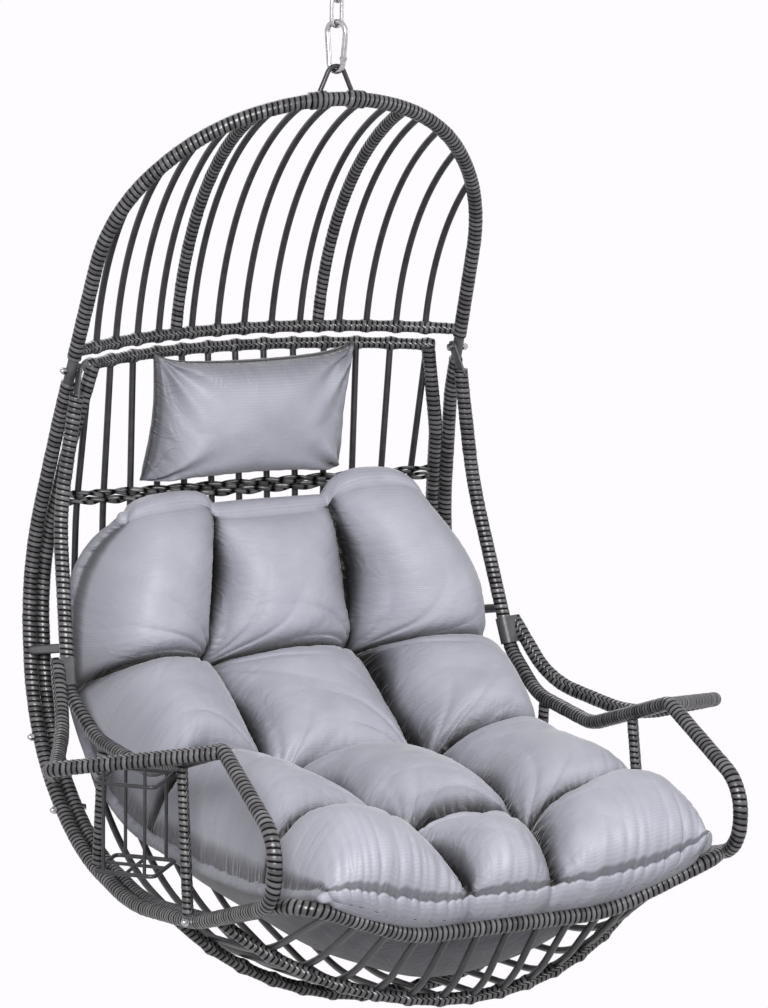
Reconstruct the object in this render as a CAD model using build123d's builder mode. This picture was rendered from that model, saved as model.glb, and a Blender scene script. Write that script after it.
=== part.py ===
from build123d import *
import os
from math import cos, hypot, radians, sin, sqrt, tan

# A hanging egg chair in millimetres, +Z up, facing -Y.
# The origin is where the top chain link hangs, and the chair's own heights are
# drops below the rod at the top of its hanger loop.
os.makedirs("parts", exist_ok=True)

# Fits
rest_gap = 0.3
weld_gap = 0.05
bolt_play = 0.2
thread_play = 0.05
seat_slack = 0.4

# Tubes and the wicker strap wound round them
tube_od = 19.0
tube_wall = 1.2
bar_od = 16.0
post_od = 14.0
rib_od = 10.0
rib_wall = 0.8
wrap_thick = 1.25
run_share = 0.48

# Chain links
link_wire = 6.0
link_inside = 36.0
link_width = 24.0
top_link_turn = 102.0
lower_link_turn = 12.0

# Snap hook
hook_rod = 8.0
hook_length = 80.0
hook_wide_radius = 16.0
hook_narrow_radius = 12.0
hook_turn = -62.0
gate_top = 15.0
gate_pivot = -17.0
gate_end_gap = 0.7
tongue_thick = 3.0
tongue_play = 0.2
gate_pin_od = 2.4
gate_pin_play = 0.05
spring_od = 3.6
spring_wall = 0.6
spring_length = 9.0

# Hanger loop
hanger_rod = 7.0
hanger_bend = 14.0
hanger_half_angle = 24.0

# Hood
hood_half = 318.0
hood_radius = 302.0
hood_base_y = 211.0
hood_base_drop = 438.0
hood_apex_y = -4.0
hood_apex_drop = 47.0
hood_bow = 27.0
hood_step = 36.0
crossbar_rise = 10.0
crossbar_y = 310.0
crossbar_drop = 424.0
hood_rib_lean = 9.0
hood_rib_places = (0.0, 45.0, 90.0, 150.0, 190.0, 232.0, 272.0)
stay_place = 118.0

# Hood joints
spigot_od = 16.2
spigot_wall = 1.5
spigot_bare = 41.0
spigot_insert = 28.0
tab_thick = 4.0
tab_width = 20.0
tab_end = 11.0
tab_forward = 5.0

# Side frame corners: x, y, drop and largest bend radius
side_rear = (350.0, 318.0, 773.0, 420.0)
side_corners = [
    (362.0, 262.0, 1003.0, 420.0),
    (363.0, 95.0, 1143.0, 420.0),
    (363.0, -120.0, 1174.0, 420.0),
    (361.0, -340.0, 1140.0, 420.0),
]
nose_low = (358.0, -588.0, 1049.0, 60.0)
nose_high = (357.0, -589.0, 959.0, 60.0)
arm_corners = [
    (349.0, -400.0, 882.0, 30.0),
    (356.0, -165.0, 967.0, 150.0),
    (361.0, 15.0, 963.0, 150.0),
]
arm_elbow = (366.0, 112.0, 914.0, 50.0)
arm_knee = (343.0, 205.0, 668.0, 300.0)
arm_end = (317.0, 203.0, 490.0, 0.0)

# Arm loop corners, in the same form
loop_corners = [
    (378.0, 127.0, 870.0, 0.0),
    (400.0, 48.0, 952.0, 150.0),
    (470.0, -90.0, 982.0, 200.0),
    (532.0, -228.0, 932.0, 30.0),
    (350.0, -398.0, 885.0, 0.0),
]
collar_from = 10.0
collar_length = 40.0
collar_thick = 2.4

# Arm posts and side braces: their two ends
post_front = [(357.0, -280.0, 925.0), (361.5, -316.0, 1140.0)]
post_rear = [(361.0, -8.0, 961.0), (363.0, 8.0, 1152.0)]
brace_ends = [(356.0, 289.0, 890.0), (360.5, 135.0, 853.0)]

# Basket
basket_bar_half = 288.0
basket_bar_end_y = 237.0
basket_bar_y = 342.0
basket_bar_drop = 455.0
rim_join = (329.0, 264.0, 590.0, 300.0)
rim_front_corner = (336.0, -606.0, 1043.0, 45.0)
rim_front_dip = (150.0, -585.0, 1118.0, 200.0)
basket_rib_pitch = 46.5
basket_ribs_each_side = 6
front_share = (0.42, 0.58)
rib_bend = 400.0
centre_rib = [
    (321.0, 684.0),
    (320.0, 880.0),
    (285.0, 1108.0),
    (105.0, 1263.0),
    (-160.0, 1308.0),
    (-478.0, 1268.0),
]
edge_rib = [
    (287.0, 684.0),
    (305.0, 870.0),
    (262.0, 1003.0),
    (95.0, 1143.0),
    (-120.0, 1174.0),
    (-345.0, 1138.0),
]

# Weave band and seat cross tubes: half length, then y and drop at the ends and in the middle
back_band = (306.0, 281.0, 661.0, 319.0, 671.0)
back_band_height = 20.0
back_band_thick = 15.0
cross_front = (340.0, -372.0, 1130.0, -470.0, 1254.0)
cross_rear = (340.0, -200.0, 1164.0, -225.0, 1318.0)

# Bolts
bolt_od = 6.0
bolt_head_od = 11.0
bolt_head_thick = 3.5
nut_flats = 10.0
nut_height = 5.0
nut_dome = 4.2
frame_bolt_runs = (560.0, 690.0, 1185.0)

# Cup cage
cage_wire = 6.0
cage_upright = 5.0
cage_inset = 14.0
cage_lift = 1.0
cage_share = 0.26
cage_size = 88.0
cage_top_drop = 944.0
cage_height = 126.0
cage_bend = 8.0

# Cushion stations: back point, front point, half width, column seam, seam height, edge rise, sag
cushion_stations = [
    ((236.0, 664.0), (196.0, 668.0), 235.0, 96.0, 28.0, 12.0, 0.0),
    ((292.0, 772.0), (118.0, 776.0), 280.0, 108.0, 118.0, 18.0, 4.0),
    ((280.0, 955.0), (146.0, 881.0), 292.0, 120.0, 124.0, 30.0, 10.0),
    ((135.0, 1092.0), (14.0, 905.0), 296.0, 120.0, 160.0, 45.0, 55.0),
    ((-36.0, 1150.0), (-78.0, 1004.0), 298.0, 118.0, 130.0, 55.0, 80.0),
    ((-245.0, 1158.0), (-250.0, 950.0), 300.0, 108.0, 148.0, 62.0, 88.0),
    ((-425.0, 1142.0), (-436.0, 988.0), 300.0, 95.0, 136.0, 66.0, 85.0),
    ((-492.0, 1126.0), (-535.0, 1002.0), 298.0, 76.0, 94.0, 70.0, 66.0),
    ((-557.0, 1101.0), (-582.0, 1062.0), 288.0, 64.0, 36.0, 70.0, 14.0),
]
cushion_settle = 10.1
cushion_edge = 44.0
cushion_side = 12.0

# Head pillow
pillow_half = 165.0
pillow_centre = (280.6, 552.0)
pillow_tilt = 11.0
pillow_half_height = 92.0
pillow_waist = 6.0
pillow_front = 62.0
pillow_back = 44.0
pillow_edge = 4.0
pillow_stations = (-1.0, -0.62, 0.0, 0.62, 1.0)

# Levels down the hanging gear
link_rise = link_inside + link_wire
top_link_high = link_wire / 2
top_link_low = top_link_high - link_rise
lower_link_high = top_link_low + link_wire + rest_gap
lower_link_low = lower_link_high - link_rise
hook_high = lower_link_low + link_wire / 2 + hook_rod / 2 + rest_gap
hook_low = hook_high - (hook_length - hook_rod)
hang_z = hook_low + hook_rod / 2 + hanger_rod / 2 + rest_gap


# Helpers
def wrapped(outer):
    return outer + 2 * wrap_thick


def place(corner):
    return Vector(corner[0], corner[1], hang_z - corner[2])


def bent_line(corners):
    # Straight runs joined by arcs, each as large as its bend and its two runs allow
    points = [place(corner) for corner in corners]
    radii = []
    for before, here, after, corner in zip(points, points[1:], points[2:], corners[1:]):
        turn = (here - before).get_angle(after - here)
        room = run_share * min((here - before).length, (after - here).length)
        radii.append(min(corner[3], room / tan(radians(turn) / 2)))
    with BuildLine() as path:
        FilletPolyline(*points, radius=radii)
    return path.wire()


def arc_line(start, middle, end):
    with BuildLine() as path:
        ThreePointArc(place(start), place(middle), place(end))
    return path.wire()


def straight_line(start, end):
    with BuildLine() as path:
        Line(place(start), place(end))
    return path.wire()


def swept(path, outer, inner=0.0):
    with BuildPart() as piece:
        with BuildSketch(Plane(path @ 0, z_dir=path % 0)):
            Circle(outer / 2)
            if inner:
                Circle(inner / 2, mode=Mode.SUBTRACT)
        sweep(path=path)
    return piece.part


def bare_tube(path, outer, wall=tube_wall):
    return swept(path, outer, outer - 2 * wall)


def wound_tube(path, outer):
    # A tube with its wicker winding bonded on
    return swept(path, wrapped(outer), outer - 2 * tube_wall)


def keep_out(path, outer):
    return swept(path, outer + 2 * weld_gap)


def where_x(path, x, low, high):
    # The point of a path whose x is given, found by halving between two shares of it
    rising = (path @ high).X > (path @ low).X
    for _ in range(40):
        middle = (low + high) / 2
        if ((path @ middle).X < x) == rising:
            low = middle
        else:
            high = middle
    return path @ low


def save(part, name):
    part.label = name
    export_step(part, f"parts/{name}.step")


def save_pair(part, name):
    save(part, f"{name}_right")
    save(mirror(part, about=Plane.YZ), f"{name}_left")


def cut(part, *tools):
    with BuildPart() as piece:
        add(part)
        for tool in tools:
            add(tool, mode=Mode.SUBTRACT)
    return piece.part


def cross_rod(at, start, end, diameter):
    # A rod along X through a point, from one x to another
    with BuildPart() as rod:
        with BuildSketch(Plane.YZ.offset(start)):
            with Locations((at.Y, at.Z)):
                Circle(diameter / 2)
        extrude(amount=end - start)
    return rod.part


def mirrored_line(corners):
    left = [(-corner[0], *corner[1:]) for corner in corners]
    return left + corners[::-1]


# Chain links
def chain_link(high, turn):
    bend = (link_width - link_wire) / 2
    straight = (link_rise - 2 * bend) / 2
    plane = Plane(
        (0, 0, high - link_rise / 2),
        x_dir=(cos(radians(turn)), sin(radians(turn)), 0),
        z_dir=(sin(radians(turn)), -cos(radians(turn)), 0),
    )
    with BuildPart() as link:
        with BuildLine(plane) as loop:
            Line((bend, -straight), (bend, straight))
            ThreePointArc((bend, straight), (0, straight + bend), (-bend, straight))
            Line((-bend, straight), (-bend, -straight))
            ThreePointArc((-bend, -straight), (0, -straight - bend), (bend, -straight))
        with BuildSketch(Plane(loop.line @ 0, z_dir=loop.line % 0)):
            Circle(link_wire / 2)
        sweep()
    return link.part


save(chain_link(top_link_high, top_link_turn), "top_link")
save(chain_link(lower_link_high, lower_link_turn), "lower_link")

# Snap hook: a pear of bent rod, open on one side for the gate
hook_plane = Plane(
    (0, 0, (hook_high + hook_low) / 2),
    x_dir=(cos(radians(hook_turn)), sin(radians(hook_turn)), 0),
    z_dir=(sin(radians(hook_turn)), -cos(radians(hook_turn)), 0),
)
hook_reach = (hook_high - hook_low) / 2
wide_y = hook_reach - hook_wide_radius
narrow_y = hook_narrow_radius - hook_reach
taper = (hook_wide_radius - hook_narrow_radius) / (wide_y - narrow_y)
taper_cos = sqrt(1 - taper * taper)
wide_side = (hook_wide_radius * taper_cos, wide_y - hook_wide_radius * taper)
narrow_side = (hook_narrow_radius * taper_cos, narrow_y - hook_narrow_radius * taper)


def on_gate_side(height):
    share = (height - narrow_side[1]) / (wide_side[1] - narrow_side[1])
    return (narrow_side[0] + share * (wide_side[0] - narrow_side[0]), height)


pivot = on_gate_side(gate_pivot)
notch = on_gate_side(gate_top)
gate_long = hypot(notch[0] - pivot[0], notch[1] - pivot[1])
gate_root = hook_plane.from_local_coords(Vector(*pivot, 0))
gate_up = (hook_plane.from_local_coords(Vector(*notch, 0)) - gate_root).normalized()
gate_plane = Plane(gate_root, x_dir=gate_up.cross(hook_plane.z_dir), z_dir=hook_plane.z_dir)
tongue_end = on_gate_side(gate_pivot - hook_rod)

with BuildPart() as snap_hook:
    with BuildLine(hook_plane) as hook_path:
        Line(notch, wide_side)
        ThreePointArc(wide_side, (0, hook_reach), (-wide_side[0], wide_side[1]))
        Line((-wide_side[0], wide_side[1]), (-narrow_side[0], narrow_side[1]))
        ThreePointArc((-narrow_side[0], narrow_side[1]), (0, -hook_reach), narrow_side)
        Line(narrow_side, tongue_end)
    with BuildSketch(Plane(hook_path.line @ 0, z_dir=hook_path.line % 0)):
        Circle(hook_rod / 2)
    sweep()
    with BuildSketch(gate_plane) as tongue:
        Circle(hook_rod / 2)
        with Locations((0, -hook_rod / 2)):
            Rectangle(hook_rod, hook_rod)
    extrude(amount=tongue_thick / 2, both=True)
    with BuildSketch(gate_plane):
        Circle(gate_pin_od / 2 + gate_pin_play)
    extrude(amount=hook_rod, both=True, mode=Mode.SUBTRACT)
save(snap_hook.part, "snap_hook")

# Snap gate: a rod with a slot over the tongue and a bore for its spring
fork_reach = hook_rod / 2 + tongue_play
fork_tail = hook_rod / 2
with BuildPart() as snap_gate:
    with BuildSketch(Plane(gate_plane.origin, gate_plane.x_dir, gate_plane.y_dir)):
        Circle(hook_rod / 2)
    extrude(amount=gate_long - gate_end_gap)
    with BuildSketch(gate_plane):
        Circle(fork_tail)
    extrude(amount=hook_rod / 2 - tongue_play, both=True)
    with BuildSketch(gate_plane):
        Circle(fork_reach)
        with Locations((0, -fork_reach)):
            Rectangle(2 * fork_reach, 2 * fork_reach)
    extrude(amount=tongue_thick / 2 + tongue_play, both=True, mode=Mode.SUBTRACT)
    with BuildSketch(Plane(gate_plane.origin, gate_plane.x_dir, gate_plane.y_dir)):
        Circle(spring_od / 2 + tongue_play)
    extrude(amount=fork_reach + spring_length, mode=Mode.SUBTRACT)
    with BuildSketch(gate_plane):
        Circle(gate_pin_od / 2)
    extrude(amount=hook_rod, both=True, mode=Mode.SUBTRACT)
save(snap_gate.part, "snap_gate")

with BuildPart() as gate_pin:
    with BuildSketch(gate_plane):
        Circle(gate_pin_od / 2)
    extrude(amount=hook_rod / 2 - tongue_play, both=True)
save(gate_pin.part, "gate_pin")

spring_plane = Plane(gate_plane.origin, gate_plane.x_dir, gate_plane.y_dir).offset(fork_reach)
with BuildPart() as gate_spring:
    with BuildSketch(spring_plane):
        Circle(spring_od / 2)
        Circle(spring_od / 2 - spring_wall, mode=Mode.SUBTRACT)
    extrude(amount=spring_length - weld_gap)
save(gate_spring.part, "gate_spring")


# Hood arch: legs and a half circle, laid on a surface that leans and bows forward
hood_chord = hypot(hood_base_y - hood_apex_y, hood_base_drop - hood_apex_drop)


def on_hood_front(x, along):
    share = along / hood_chord
    bow = 4 * hood_bow * share * (1 - share)
    lean_y = (hood_apex_y - hood_base_y) / hood_chord
    lean_z = (hood_base_drop - hood_apex_drop) / hood_chord
    return (
        x,
        hood_base_y + along * lean_y + bow * lean_z,
        hood_base_drop - along * lean_z + bow * lean_y,
        hood_radius,
    )


arch_far = hood_radius / cos(radians(hood_step / 2))
arch_right = [on_hood_front(hood_half, 0)]
for angle in (hood_step / 2, 3 * hood_step / 2):
    rise = hood_chord - hood_radius + arch_far * sin(radians(angle))
    arch_right.append(on_hood_front(arch_far * cos(radians(angle)), rise))
arch_top = on_hood_front(0, hood_chord - hood_radius + arch_far)
arch_corners = mirrored_line(arch_right + [arch_top])
arch_corners.remove(arch_top)
arch_line = bent_line(arch_corners)
arch_solid = keep_out(arch_line, wrapped(tube_od))
save(wound_tube(arch_line, tube_od), "hood_arch")

# Hood crossbar, saved below once its ends are cut round the spigots
crossbar_end = on_hood_front(hood_half, crossbar_rise)
crossbar_line = arc_line(
    (-crossbar_end[0], *crossbar_end[1:3]),
    (0, crossbar_y, crossbar_drop),
    crossbar_end,
)
crossbar_solid = keep_out(crossbar_line, wrapped(bar_od))


# Hood ribs and stays: arcs in upright planes, from the crossbar to the arch
def hood_rib_line(x):
    foot = where_x(crossbar_line, x, 0, 1)
    head = where_x(arch_line, x, 0, 1)
    lean = radians(hood_rib_lean)
    with BuildLine() as path:
        TangentArc(foot, head, tangent=(0, -sin(lean), cos(lean)))
    return path.wire()


hood_rib_xs = sorted({side * x for x in hood_rib_places for side in (-1, 1)})
with BuildPart() as hood_ribs:
    for x in hood_rib_xs:
        add(bare_tube(hood_rib_line(x), rib_od, rib_wall))
    add(arch_solid, mode=Mode.SUBTRACT)
    add(crossbar_solid, mode=Mode.SUBTRACT)
save(hood_ribs.part, "hood_ribs")

stay_line = hood_rib_line(stay_place)
save_pair(cut(wound_tube(stay_line, bar_od), arch_solid, crossbar_solid), "hood_stay")

# Hanger loop: a bent rod V that stands on the arch
hanger_lean = radians(hanger_half_angle)
leg_top = (hanger_bend * cos(hanger_lean), hang_z - hanger_bend + hanger_bend * sin(hanger_lean))
leg_drop = leg_top[1] - (hang_z - hood_apex_drop)
leg_foot = (leg_top[0] + leg_drop * tan(hanger_lean), leg_top[1] - leg_drop)
with BuildPart() as hanger_loop:
    with BuildLine(Plane.XZ) as hanger_path:
        Line((-leg_foot[0], leg_foot[1]), (-leg_top[0], leg_top[1]))
        ThreePointArc((-leg_top[0], leg_top[1]), (0, hang_z), leg_top)
        Line(leg_top, leg_foot)
    with BuildSketch(Plane(hanger_path.line @ 0, z_dir=hanger_path.line % 0)):
        Circle(hanger_rod / 2)
    sweep()
    add(arch_solid, mode=Mode.SUBTRACT)
save(hanger_loop.part, "hanger_loop")

# Spigots: bare tubes that carry the hood on the side frames
leg_down = (place(arch_right[0]) - place(arch_right[1])).normalized()
hood_foot = place(arch_right[0])
spigot_middle = hood_foot + leg_down * (spigot_bare / 2)
side_top = hood_foot + leg_down * spigot_bare


def corner_of(point, bend):
    return (point.X, point.Y, hang_z - point.Z, bend)


spigot_line = straight_line(
    corner_of(hood_foot - leg_down * spigot_insert, 0),
    corner_of(side_top + leg_down * spigot_insert, 0),
)
tab_x = spigot_middle.X - spigot_od / 2 - rest_gap - tab_thick / 2
hood_bolt_start = tab_x - tab_thick / 2 - seat_slack
hood_bolt_end = spigot_middle.X + spigot_od / 2 + seat_slack
hood_bolt_seat = cross_rod(
    spigot_middle, hood_bolt_start - tab_width, hood_bolt_start, bolt_head_od + 2 * bolt_play
)
hood_bolt_hole = cross_rod(spigot_middle, tab_x - tab_width, hood_bolt_end + tab_width, bolt_od + bolt_play)
spigot = cut(bare_tube(spigot_line, spigot_od, spigot_wall), hood_bolt_hole)
save_pair(spigot, "hood_spigot")
spigot_solid = keep_out(spigot_line, spigot_od)
both_spigots = [spigot_solid, mirror(spigot_solid, about=Plane.YZ)]
save(cut(wound_tube(crossbar_line, bar_od), arch_solid, *both_spigots), "hood_crossbar")

# Side frame: one long bent tube with a flat tab let into its arm end
side_straight = corner_of(side_top + leg_down * (2.2 * spigot_insert), 300.0)
side_line = bent_line(
    [corner_of(side_top, 0), side_straight, side_rear]
    + side_corners
    + [nose_low, nose_high]
    + arm_corners
    + [arm_elbow, arm_knee, arm_end]
)
side_solid = keep_out(side_line, wrapped(tube_od))
frame_bolt_points = [side_line.position_at(run, PositionMode.LENGTH) for run in frame_bolt_runs]
rim_shift = wrapped(tube_od) + rest_gap
frame_bolt_holes = [
    cross_rod(at, at.X - 2 * rim_shift, at.X + rim_shift, bolt_od + bolt_play) for at in frame_bolt_points
]
tab_root = side_line @ 1
tab_centre = Vector(tab_x, spigot_middle.Y - tab_forward, spigot_middle.Z)
tab_up = (tab_centre - tab_root).normalized()
tab_plane = Plane(tab_root - tab_up * tab_end, x_dir=Vector(1, 0, 0).cross(tab_up), z_dir=tab_up)
with BuildPart() as side_frame:
    add(wound_tube(side_line, tube_od))
    with BuildSketch(tab_plane):
        SlotOverall(tab_width, tab_thick)
    extrude(amount=(tab_centre - tab_root).length + 2 * tab_end)
    add(spigot_solid, mode=Mode.SUBTRACT)
    add(hood_bolt_seat, mode=Mode.SUBTRACT)
    add(hood_bolt_hole, mode=Mode.SUBTRACT)
    for hole in frame_bolt_holes:
        add(hole, mode=Mode.SUBTRACT)
save_pair(side_frame.part, "side_frame")

# Arm loops, and the collars that bind them to the arm rails
loop_line = bent_line(loop_corners)
loop_solid = keep_out(loop_line, wrapped(tube_od))
save_pair(cut(wound_tube(loop_line, tube_od), side_solid), "arm_loop")

arm_up = (place(arm_knee) - place(arm_elbow)).normalized()
collar_plane = Plane(place(arm_elbow) + arm_up * collar_from, x_dir=(1, 0, 0), z_dir=arm_up)
collar_od = wrapped(tube_od) + 2 * collar_thick
collar_reach = loop_corners[0][0] - arm_elbow[0]
with BuildPart() as arm_collar:
    with BuildSketch(collar_plane):
        with Locations((collar_reach / 2, 0)):
            SlotCenterToCenter(collar_reach, collar_od)
    extrude(amount=collar_length)
    add(side_solid, mode=Mode.SUBTRACT)
    add(loop_solid, mode=Mode.SUBTRACT)
save_pair(arm_collar.part, "arm_collar")

# Arm posts and side braces
for name, ends in (("arm_post_front", post_front), ("arm_post_rear", post_rear)):
    save_pair(cut(wound_tube(straight_line(*ends), post_od), side_solid), name)
brace_line = straight_line(*brace_ends)
save_pair(cut(swept(brace_line, post_od), side_solid), "side_brace")

# Basket top bar and rim
basket_bar_line = arc_line(
    (-basket_bar_half, basket_bar_end_y, basket_bar_drop),
    (0, basket_bar_y, basket_bar_drop),
    (basket_bar_half, basket_bar_end_y, basket_bar_drop),
)
bar_solid = keep_out(basket_bar_line, wrapped(bar_od))
save(wound_tube(basket_bar_line, bar_od), "basket_bar")

rim_right = [(basket_bar_half - wrapped(tube_od) / 2, basket_bar_end_y, basket_bar_drop, 0.0)]
for x, y, drop, bend in [rim_join, side_rear] + side_corners:
    rim_right.append((x - rim_shift, y, drop, bend))
rim_right += [rim_front_corner, rim_front_dip]
rim_corners = [(-corner[0], *corner[1:]) for corner in rim_right] + rim_right[::-1]
rim_line = bent_line(rim_corners)
rim_solid = keep_out(rim_line, wrapped(tube_od))
bolt_holes_left = [mirror(hole, about=Plane.YZ) for hole in frame_bolt_holes]
save(cut(wound_tube(rim_line, tube_od), bar_solid, *frame_bolt_holes, *bolt_holes_left), "basket_rim")


# Basket ribs: each hangs from the bar, passes under the seat and rises to the front rim
def basket_rib_line(x):
    top = where_x(basket_bar_line, x, 0, 1)
    front = where_x(rim_line, x, *front_share)
    share = (x / (side_corners[0][0] - rim_shift)) ** 2
    corners = [corner_of(top, 0)]
    for middle, edge in zip(centre_rib, edge_rib):
        y = middle[0] + share * (edge[0] - middle[0])
        drop = middle[1] + share * (edge[1] - middle[1])
        corners.append((x, y, drop, rib_bend))
    corners.append(corner_of(Vector(x, front.Y, front.Z), 0))
    return bent_line(corners)


basket_rib_xs = [n * basket_rib_pitch for n in range(-basket_ribs_each_side, basket_ribs_each_side + 1)]
basket_rib_lines = [basket_rib_line(x) for x in basket_rib_xs]
with BuildPart() as basket_ribs:
    for line in basket_rib_lines:
        add(bare_tube(line, rib_od, rib_wall))
    add(bar_solid, mode=Mode.SUBTRACT)
    add(rim_solid, mode=Mode.SUBTRACT)
save(basket_ribs.part, "basket_ribs")
rib_solids = [keep_out(line, rib_od) for line in basket_rib_lines]


# Weave band across the back, and the wrapped tubes that cross under the seat
def across(half, end_y, end_drop, middle_y, middle_drop):
    return arc_line((-half, end_y, end_drop), (0, middle_y, middle_drop), (half, end_y, end_drop))


band_line = across(*back_band)
with BuildPart() as back_weave_band:
    band_start = Plane(band_line @ 0, x_dir=(0, 0, 1), z_dir=band_line % 0)
    with BuildSketch(band_start):
        RectangleRounded(back_band_height, back_band_thick, back_band_thick / 3)
    sweep(path=band_line)
    add(rim_solid, mode=Mode.SUBTRACT)
    for solid in rib_solids:
        add(solid, mode=Mode.SUBTRACT)
save(back_weave_band.part, "back_weave_band")

for name, size in (("seat_cross_front", cross_front), ("seat_cross_rear", cross_rear)):
    save(cut(wound_tube(across(*size), bar_od), rim_solid, *rib_solids), name)


# Bolts and cap nuts
def bolt(at, start, end):
    with BuildPart() as screw:
        add(cross_rod(at, start, end + nut_height, bolt_od))
        add(cross_rod(at, start - bolt_head_thick, start, bolt_head_od))
    return screw.part


def cap_nut(at, start):
    with BuildPart() as nut:
        with BuildSketch(Plane.YZ.offset(start)):
            with Locations((at.Y, at.Z)):
                RegularPolygon(nut_flats / 2, 6, major_radius=False)
        extrude(amount=nut_height)
        with Locations((start + nut_height, at.Y, at.Z)):
            Sphere(nut_dome)
        add(cross_rod(at, start - nut_dome, start, 3 * nut_flats), mode=Mode.SUBTRACT)
        add(cross_rod(at, start, start + nut_height, bolt_od + 2 * thread_play), mode=Mode.SUBTRACT)
    return nut.part


def save_both_sides(parts, name):
    with BuildPart() as group:
        for part in parts:
            add(part)
            add(mirror(part, about=Plane.YZ))
    save(group.part, name)


save_both_sides([bolt(spigot_middle, hood_bolt_start, hood_bolt_end)], "hood_bolts")
save_both_sides([cap_nut(spigot_middle, hood_bolt_end)], "hood_cap_nuts")
frame_bolts = []
frame_nuts = []
for at in frame_bolt_points:
    inner = at.X - rim_shift - wrapped(tube_od) / 2
    outer = at.X + wrapped(tube_od) / 2
    frame_bolts.append(bolt(at, inner, outer))
    frame_nuts.append(cap_nut(at, outer))
save_both_sides(frame_bolts, "frame_bolts")
save_both_sides(frame_nuts, "frame_cap_nuts")

# Cup cage: welded wire, hung under the front run of one arm loop
loop_tip = Vector(-loop_corners[3][0], *loop_corners[3][1:3])
loop_end = Vector(-loop_corners[4][0], *loop_corners[4][1:3])
loop_run = loop_end - loop_tip
cage_first = loop_tip + loop_run * cage_share
cage_plane = Plane(
    place((cage_first.X, cage_first.Y, cage_top_drop)),
    x_dir=(loop_run.X, loop_run.Y, 0),
    z_dir=(0, 0, 1),
)
left_loop_solid = mirror(loop_solid, about=Plane.YZ)


def cage_ring(level):
    with BuildPart() as ring:
        with BuildLine(cage_plane.offset(level)) as loop:
            FilletPolyline(
                (0, 0), (cage_size, 0), (cage_size, cage_size), (0, cage_size),
                radius=cage_bend,
                close=True,
            )
        with BuildSketch(Plane(loop.line @ 0, z_dir=loop.line % 0)):
            Circle(cage_wire / 2)
        sweep()
    return ring.part


cage_floor = cage_plane.offset(-cage_height)
cage_middle = cage_floor.from_local_coords(Vector(cage_size / 2, cage_size / 2, 0))
with BuildPart() as cup_cage:
    add(cage_ring(0))
    add(cage_ring(-cage_height))
    for along in (cage_inset, cage_size - cage_inset):
        hang = cage_first + loop_run * (along / hypot(loop_run.X, loop_run.Y))
        with BuildSketch(cage_floor):
            with Locations((along, 0)):
                Circle(cage_upright / 2)
        extrude(amount=cage_height + cage_top_drop - hang.Z)
        with BuildSketch(cage_floor):
            with Locations((along, cage_size)):
                Circle(cage_upright / 2)
        extrude(amount=cage_height)
    for turn, lift in ((0, cage_lift), (90, -cage_lift)):
        floor_dir = Vector(cage_floor.x_dir).rotate(Axis.Z, turn)
        with BuildSketch(Plane(cage_middle + Vector(0, 0, lift), z_dir=floor_dir)):
            Circle(cage_upright / 2)
        extrude(amount=cage_size / 2, both=True)
    add(left_loop_solid, mode=Mode.SUBTRACT)
save(cup_cage.part, "cup_cage")


# Seat cushion: a loft through sections that are full at the puffs and thin at the tufts
def cushion_section(station):
    back, front, half, seam, seam_height, rise, sag = station
    origin = place((0, back[0], back[1] + cushion_settle))
    tip = place((0, front[0], front[1] + cushion_settle))
    height = (tip - origin).length
    plane = Plane(origin, x_dir=(1, 0, 0), z_dir=Vector(1, 0, 0).cross((tip - origin).normalized()))
    column = (half + seam) / 2

    def lift(x):
        return rise * (x / half) ** 2

    rim_low = (half, rise)
    rim_side = (half + cushion_side, rise + cushion_edge / 2)
    rim_high = (half, rise + cushion_edge)
    crown = (column, lift(column) + height)
    dip = (seam, lift(seam) + seam_height)

    def left(point):
        return (-point[0], point[1])

    with BuildSketch(plane) as section:
        with BuildLine():
            ThreePointArc(left(rim_low), (0, -sag), rim_low)
            ThreePointArc(rim_low, rim_side, rim_high)
            ThreePointArc(rim_high, crown, dip)
            ThreePointArc(dip, (0, height), left(dip))
            ThreePointArc(left(dip), left(crown), left(rim_high))
            ThreePointArc(left(rim_high), left(rim_side), left(rim_low))
        make_face()
    return section.sketch


cushion_sections = [cushion_section(station) for station in cushion_stations]
with BuildPart() as seat_cushion:
    for row in range(0, len(cushion_sections) - 1, 2):
        loft(cushion_sections[row:row + 3])
save(seat_cushion.part, "seat_cushion")

# Head pillow: a loft of lenses, full in the middle, thin and taller at the ears
pillow_lean = radians(pillow_tilt)
pillow_up = Vector(0, -sin(pillow_lean), cos(pillow_lean))
pillow_face = Vector(0, -cos(pillow_lean), -sin(pillow_lean))


def pillow_section(station):
    fullness = 1 - station * station
    tall = pillow_half_height - pillow_waist * fullness
    front = pillow_edge + (pillow_front - pillow_edge) * sqrt(fullness)
    back = pillow_edge + (pillow_back - pillow_edge) * sqrt(fullness)
    origin = place((station * pillow_half, *pillow_centre))
    plane = Plane(origin, x_dir=pillow_face, z_dir=pillow_face.cross(pillow_up))
    with BuildSketch(plane) as section:
        with BuildLine():
            ThreePointArc((0, -tall), (front, 0), (0, tall))
            ThreePointArc((0, tall), (-back, 0), (0, -tall))
        make_face()
    return section.sketch


with BuildPart() as head_pillow:
    loft([pillow_section(station) for station in pillow_stations])
save(head_pillow.part, "head_pillow")
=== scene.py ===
import math

import bpy
import numpy as np
from mathutils import Matrix, Vector


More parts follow.
